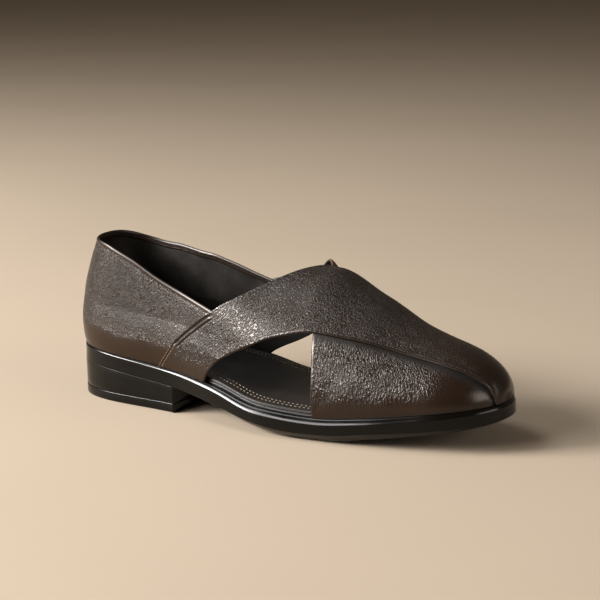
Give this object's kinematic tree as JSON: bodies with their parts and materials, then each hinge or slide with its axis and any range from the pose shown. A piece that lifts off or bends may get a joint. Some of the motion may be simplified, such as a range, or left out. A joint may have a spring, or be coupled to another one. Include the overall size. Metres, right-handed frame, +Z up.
{
  "type": "cross-strap flat shoe",
  "caption": "Right slip-on shoe: closed leather toe formed by crossing straps, cut-outs at the sides, open collar, leather insole and a low stacked heel",
  "frame": {"origin": "Middle of the bounding box in plan, on the floor that the heel and the forefoot stand on", "axes": "+X from heel to toe, +Y to the inner side of the foot, +Z up"},
  "size_m": [0.2916, 0.1004, 0.1012],
  "materials": {
    "upper_leather": "pebbled, satin",
    "insole_leather": "smooth, dull",
    "board": "raw edge",
    "sole": "polished edge",
    "heel": "satin",
    "lift": "matt"
  },
  "bodies": {
    "root": {"upper": "upper_leather", "insole": "insole_leather", "insole_board": "board", "outsole": "sole", "heel_block": "heel", "top_lift": "lift"}
  },
  "joints": []
}
